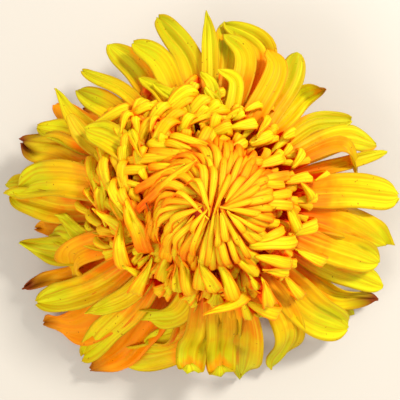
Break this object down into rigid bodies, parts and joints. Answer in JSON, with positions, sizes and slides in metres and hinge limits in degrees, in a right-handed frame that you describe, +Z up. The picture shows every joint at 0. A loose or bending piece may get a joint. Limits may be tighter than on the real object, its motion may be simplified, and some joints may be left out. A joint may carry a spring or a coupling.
{
  "type": "chrysanthemum bloom",
  "caption": "Double yellow chrysanthemum head on a short cut stem, lying face up on its outer florets, with an incurved centre, hooked middle florets and long spreading outer rays.",
  "frame": {"origin": "centre of the bloom's outline, on the surface it lies on", "axes": "+Z up along the flower's axis, out of its face; +X and +Y across the bloom, +Y towards the top of the picture"},
  "size_m": [0.126, 0.116, 0.0641],
  "materials": {
    "florets": "soft petal, golden yellow with lemon tips and orange bases",
    "bracts": "matt green with papery pale edges",
    "stem": "finely ribbed green"
  },
  "bodies": {
    "root": {"ray_florets": "florets", "involucre": "bracts", "stem": "stem"}
  },
  "joints": []
}
